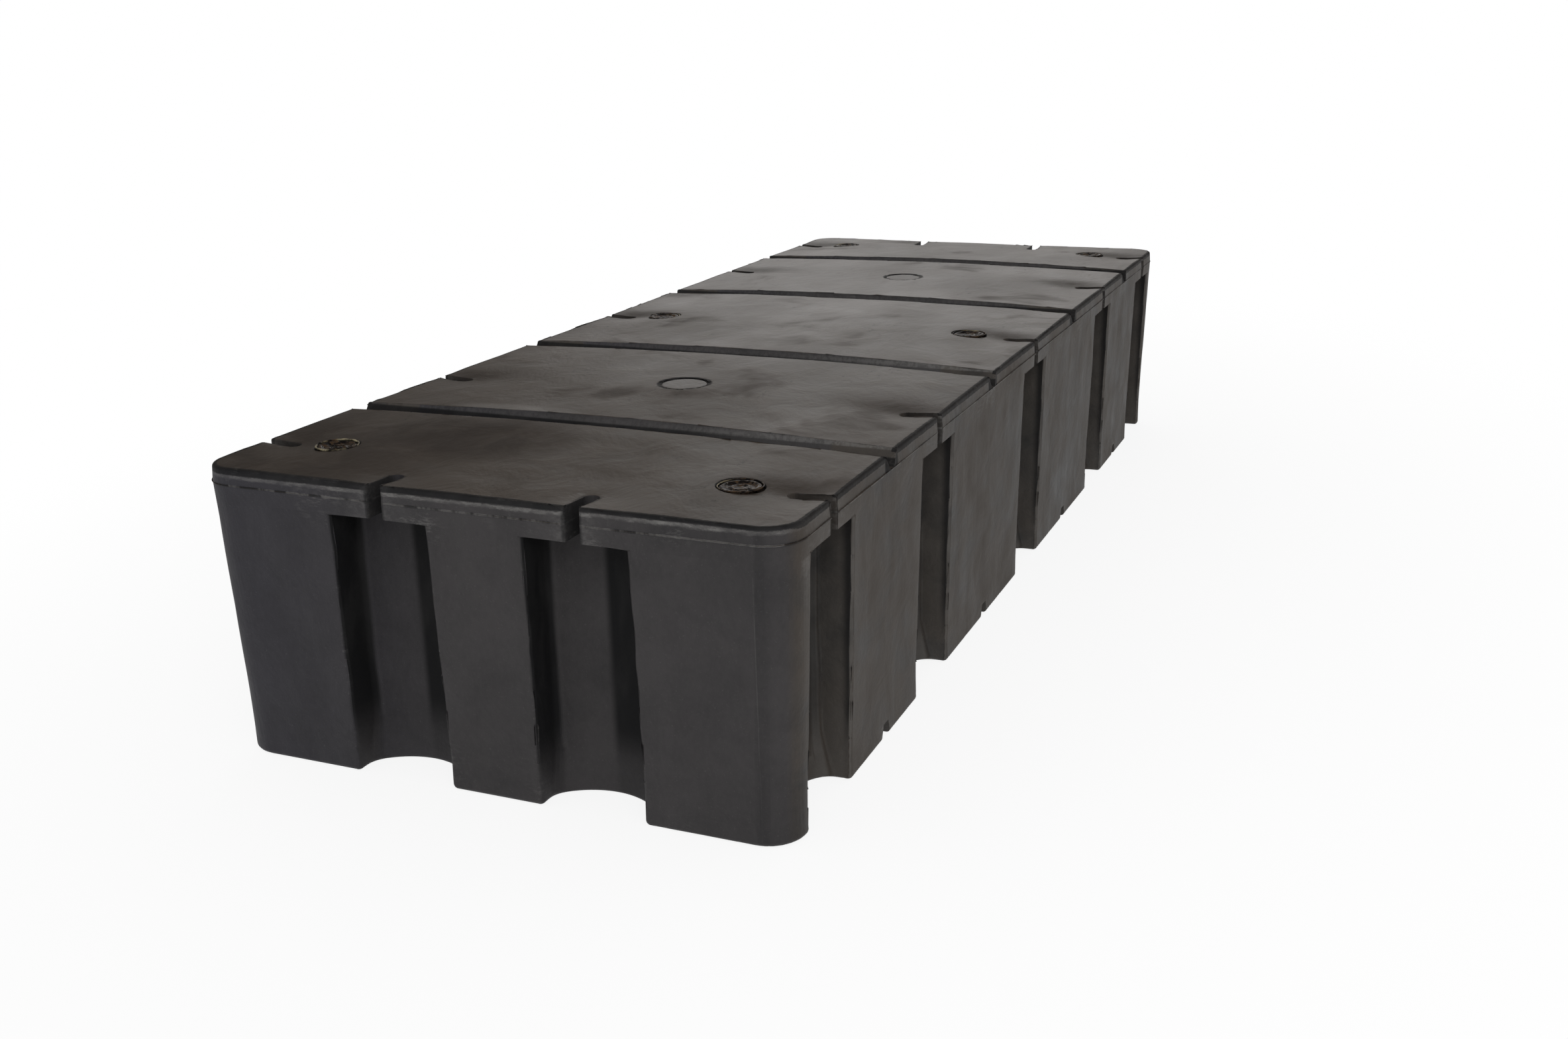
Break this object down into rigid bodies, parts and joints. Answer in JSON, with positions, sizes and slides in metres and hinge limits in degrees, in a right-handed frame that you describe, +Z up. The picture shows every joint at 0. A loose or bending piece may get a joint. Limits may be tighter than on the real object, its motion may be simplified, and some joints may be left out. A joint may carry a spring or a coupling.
{
  "type": "dock float drum",
  "caption": "Long rectangular foam-filled float drum for docks: bowed ribbed top, slotted rim for bolts, upright side flutes and flush welded plugs.",
  "frame": {"origin": "middle of the underside", "axes": "+X across the width, +Y along the length towards the far end, +Z up"},
  "size_m": [0.9144, 2.4384, 0.4535],
  "materials": {
    "float_shell": "moulded black polyethylene, satin, lightly scuffed",
    "weld_plug": "melted and welded black polyethylene, glossy"
  },
  "bodies": {
    "root": {"drum_body": "float_shell", "steam_plug_1": "weld_plug", "steam_plug_2": "weld_plug", "steam_plug_3": "weld_plug", "steam_plug_4": "weld_plug", "steam_plug_5": "weld_plug", "steam_plug_6": "weld_plug", "fill_cap_1": "float_shell", "fill_cap_2": "float_shell"}
  },
  "joints": []
}
